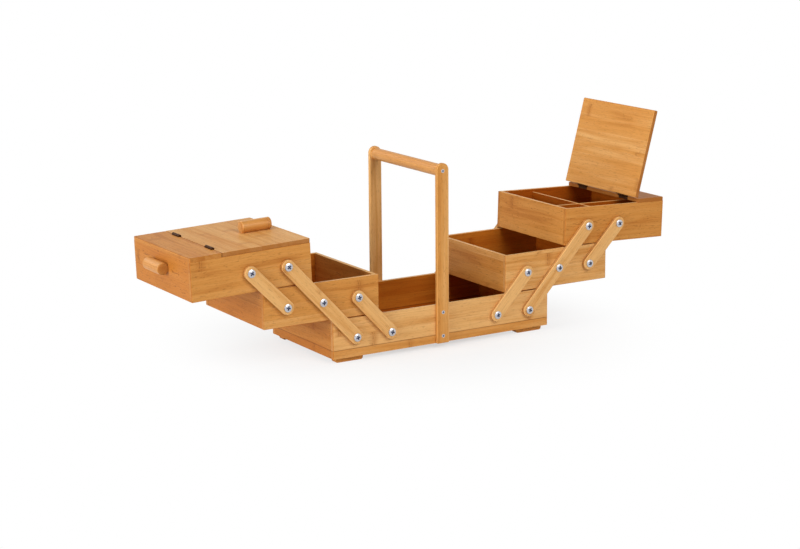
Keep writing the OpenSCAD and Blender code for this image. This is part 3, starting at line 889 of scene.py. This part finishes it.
class CARRIER_OT_feet(bpy.types.Operator):
    """Finish the four block feet"""

    bl_idname = "carrier.feet"
    bl_label = "Feet"

    def execute(self, context):
        make_boards(["base_feet"], settings().joinery.small_easing, "Wall bamboo", tone=0.9)
        return {"FINISHED"}


class CARRIER_OT_dividers(bpy.types.Operator):
    """Finish the dividers of the top trays"""

    bl_idname = "carrier.dividers"
    bl_label = "Dividers"

    def execute(self, context):
        # The paler narrow sides and eased edges paint a highlight on the dividers.
        make_boards(both("long_divider", "cross_divider"), settings().joinery.small_easing, "Wall bamboo",
                    tone=0.9, side_tone_and_light=-0.8, edge_tone=-0.8)
        return {"FINISHED"}


class CARRIER_OT_handle(bpy.types.Operator):
    """Finish the handle's uprights and its dowel grip"""

    bl_idname = "carrier.handle"
    bl_label = "Handle"

    def execute(self, context):
        joinery = settings().joinery
        for node, tone in (("front_upright", 0.5), ("back_upright", 0.15)):
            # The paler eased edges paint a highlight.
            make_boards([node], joinery.link_easing, "Pale bamboo", tone, edge_tone=-0.4)
        make_boards(["handle_grip"], joinery.small_easing, "Dowel bamboo", tone=0.6)
        return {"FINISHED"}


class CARRIER_OT_links(bpy.types.Operator):
    """Finish the link bars"""

    bl_idname = "carrier.links"
    bl_label = "Links"

    def execute(self, context):
        # The browner narrow sides paint the contact shadow beside the bars, and the paler eased edges
        # paint a highlight.
        make_boards(both("long_links", "lower_links", "upper_links"), settings().joinery.link_easing,
                    "Pale bamboo", tone=0.0, side_tone_and_light=0.6, edge_tone=-0.9)
        return {"FINISHED"}


class CARRIER_OT_lids(bpy.types.Operator):
    """Finish the lids and the strips that carry them"""

    bl_idname = "carrier.lids"
    bl_label = "Lids"

    def execute(self, context):
        easing = settings().joinery.board_easing
        # The positive side and edge tones paint the shade along the edges of the lids and strips and the
        # dark line beneath them.
        for node, finish, tone, side_tone_and_light, edge_tone in (
                ("left_lid", "Pale bamboo", 0.4, 1.0, 1.0),
                ("right_lid", "Wall bamboo", 0.55, 1.0, 1.0),
                ("left_strip", "Wall bamboo", 0.7, 0.1, 1.5),
                # The right strip's deeper tone paints the shadow of the open lid over it.
                ("right_strip", "Wall bamboo", 1.2, 1.0, 1.0)):
            make_boards([node], easing, finish, tone, side_tone_and_light, edge_tone)
        return {"FINISHED"}


class CARRIER_OT_knobs(bpy.types.Operator):
    """Finish the dowel knobs on the lids and the dowel pulls on the trays"""

    bl_idname = "carrier.knobs"
    bl_label = "Knobs and pulls"

    def execute(self, context):
        make_boards(both("knob"), settings().joinery.small_easing, "Dowel bamboo", tone=0.4)
        make_boards(both("pull"), settings().joinery.small_easing, "Dowel bamboo", tone=0.9)
        return {"FINISHED"}


class CARRIER_OT_pivots(bpy.types.Operator):
    """Make the pivot bolts and finish their sleeves"""

    bl_idname = "carrier.pivots"
    bl_label = "Pivots"

    def execute(self, context):
        for node in ["base_bolts"] + both("mid_bolts", "top_bolts"):
            make_screws(node, bolt_outline, "Zinc")
        make_metal(["base_sleeves"] + both("mid_sleeves", "top_sleeves"), "Zinc")
        return {"FINISHED"}


class CARRIER_OT_screws(bpy.types.Operator):
    """Make the wood screws of the handle and of the lid hinges"""

    bl_idname = "carrier.screws"
    bl_label = "Screws"

    def execute(self, context):
        for node in ("upright_screws", "grip_screws"):
            make_screws(node, wood_screw_outline, "Zinc")
        for node in both("strip_screws", "lid_screws"):
            make_screws(node, wood_screw_outline, "Dark bronze")
        return {"FINISHED"}


class CARRIER_OT_hinges(bpy.types.Operator):
    """Finish the leaves and pins of the lid hinges"""

    bl_idname = "carrier.hinges"
    bl_label = "Hinges"

    def execute(self, context):
        make_metal(both("strip_leaves", "lid_leaves", "hinge_pins"), "Dark bronze")
        return {"FINISHED"}


def make_floor(studio):
    """A wide plain floor that keeps the shadow and fades to white towards the camera's background."""
    shape = bmesh.new()
    bmesh.ops.create_grid(shape, x_segments=1, y_segments=1, size=studio.floor_size / 2)
    floor = solid_object("floor", shape)
    finish, start = surface("Studio floor")
    place = start.node("ShaderNodeTexCoord", {}, {}, "Object")
    away = start.node("ShaderNodeVectorMath", {"operation": "LENGTH"}, {0: place}, "Value")
    lift = away.rise(0.0, studio.floor_fade) * (1 - studio.floor_lift) + studio.floor_lift
    plain = start.node("ShaderNodeBsdfDiffuse", {}, {"Color": (studio.floor_tone,) * 3 + (1,)})
    white = start.node("ShaderNodeEmission", {}, {"Color": (1, 1, 1, 1), "Strength": 1.0})
    seen = start.seen() * lift
    close_surface(start, start.node("ShaderNodeMixShader", {}, {0: seen, 1: plain, 2: white}))
    floor.data.materials.append(finish)


def make_world(studio):
    """Even light from all round, seen as plain white."""
    world = bpy.data.worlds.new("Studio")
    world.use_nodes = True
    world.node_tree.nodes.clear()
    start = Wire(world.node_tree)
    even = start.node("ShaderNodeBackground", {}, {"Color": (1, 1, 1, 1), "Strength": studio.ambient})
    white = start.node("ShaderNodeBackground", {}, {"Color": (1, 1, 1, 1), "Strength": 1.0})
    mixed = start.node("ShaderNodeMixShader", {}, {0: start.seen(), 1: even, 2: white})
    start.node("ShaderNodeOutputWorld", {}, {"Surface": mixed})
    bpy.context.scene.world = world


def make_light(name, power, size, place, aim):
    lamp = bpy.data.lights.new(name, "AREA")
    lamp.energy = power
    lamp.shape = "DISK"
    lamp.size = size
    light = bpy.data.objects.new(name, lamp)
    light.location = place
    light.rotation_euler = (Vector(aim) - Vector(place)).to_track_quat("-Z", "Y").to_euler()
    bpy.context.scene.collection.objects.link(light)


def make_camera(studio):
    lens = bpy.data.cameras.new("Camera")
    lens.lens = studio.camera_lens
    lens.sensor_width = SENSOR_WIDTH
    camera = bpy.data.objects.new("Camera", lens)
    camera.location = studio.camera_place
    camera.rotation_euler = studio.camera_turn
    bpy.context.scene.collection.objects.link(camera)
    bpy.context.scene.camera = camera


class CARRIER_OT_studio(bpy.types.Operator):
    """Set up the floor, the lights and the camera"""

    bl_idname = "carrier.studio"
    bl_label = "Studio"

    def execute(self, context):
        studio = settings().studio
        middle = (CAD_BOX[0] + CAD_BOX[1]) / 2
        make_floor(studio)
        make_world(studio)
        for name, size, place in LIGHTS:
            make_light(name, getattr(studio, name + "_power"), size, place, middle)
        make_camera(studio)
        context.scene.view_settings.view_transform = "Standard"
        return {"FINISHED"}


OPERATORS = (CARRIER_OT_studio, CARRIER_OT_walls, CARRIER_OT_bottoms, CARRIER_OT_feet, CARRIER_OT_dividers,
             CARRIER_OT_handle, CARRIER_OT_links, CARRIER_OT_lids, CARRIER_OT_knobs, CARRIER_OT_pivots,
             CARRIER_OT_screws, CARRIER_OT_hinges)


class CARRIER_PT_panel(bpy.types.Panel):
    """Lists the pieces of the sewing carrier"""

    bl_label = "Sewing carrier"
    bl_space_type = "VIEW_3D"
    bl_region_type = "UI"
    bl_category = "Sewing carrier"

    def draw(self, context):
        for operator in OPERATORS:
            self.layout.operator(operator.bl_idname)


GROUPS = (JoinerySettings, BambooSettings, HardwareSettings, StudioSettings, CarrierSettings)


def register():
    for item in (*GROUPS, *OPERATORS, CARRIER_PT_panel):
        bpy.utils.register_class(item)
    bpy.types.Scene.sewing_carrier = PointerProperty(type=CarrierSettings)


def unregister():
    del bpy.types.Scene.sewing_carrier
    for item in reversed((*GROUPS, *OPERATORS, CARRIER_PT_panel)):
        bpy.utils.unregister_class(item)


def main():
    register()
    bpy.ops.carrier.studio()
    bpy.ops.carrier.walls()
    bpy.ops.carrier.bottoms()
    bpy.ops.carrier.feet()
    bpy.ops.carrier.dividers()
    bpy.ops.carrier.handle()
    bpy.ops.carrier.links()
    bpy.ops.carrier.lids()
    bpy.ops.carrier.knobs()
    bpy.ops.carrier.pivots()
    bpy.ops.carrier.screws()
    bpy.ops.carrier.hinges()


if __name__ == "__main__":
    main()
